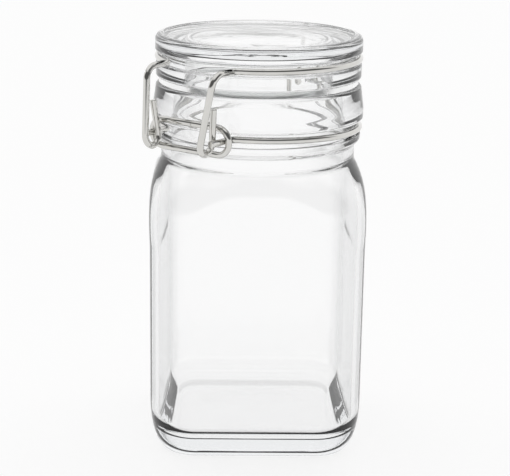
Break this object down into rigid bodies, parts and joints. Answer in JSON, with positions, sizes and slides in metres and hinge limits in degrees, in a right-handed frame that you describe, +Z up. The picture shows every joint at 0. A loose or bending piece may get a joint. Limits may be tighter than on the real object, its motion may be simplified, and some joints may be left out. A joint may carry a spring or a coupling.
{
  "type": "clip-top preserving jar",
  "caption": "Clear square glass preserving jar with a round mouth, a hinged glass lid on a wire bail, a clear gasket and a wire clip closure.",
  "frame": {"origin": "the middle of the foot, on the plane that the jar stands on", "axes": "+Z up along the jar's axis; one flat side of the body faces -Y; the closure's front is turned 37.3 degrees from -Y towards -X"},
  "size_m": [0.108, 0.1221, 0.2034],
  "materials": {
    "clear_glass": "clear, polished",
    "clear_rubber": "translucent silicone, satin",
    "steel_wire": "polished stainless wire"
  },
  "bodies": {
    "jar": {"jar_glass": "clear_glass", "neck_wire": "steel_wire", "keeper_ring": "steel_wire"},
    "lid": {"lid_glass": "clear_glass", "gasket": "clear_rubber", "lid_wire": "steel_wire"}
  },
  "joints": [
    {"name": "lid_hinge", "type": "hinge", "parent": "jar", "child": "lid", "pos_m": [0.03472, 0.04558, 0.176], "axis": [-0.7955, 0.606, 0], "range_deg": [0, 105]}
  ]
}
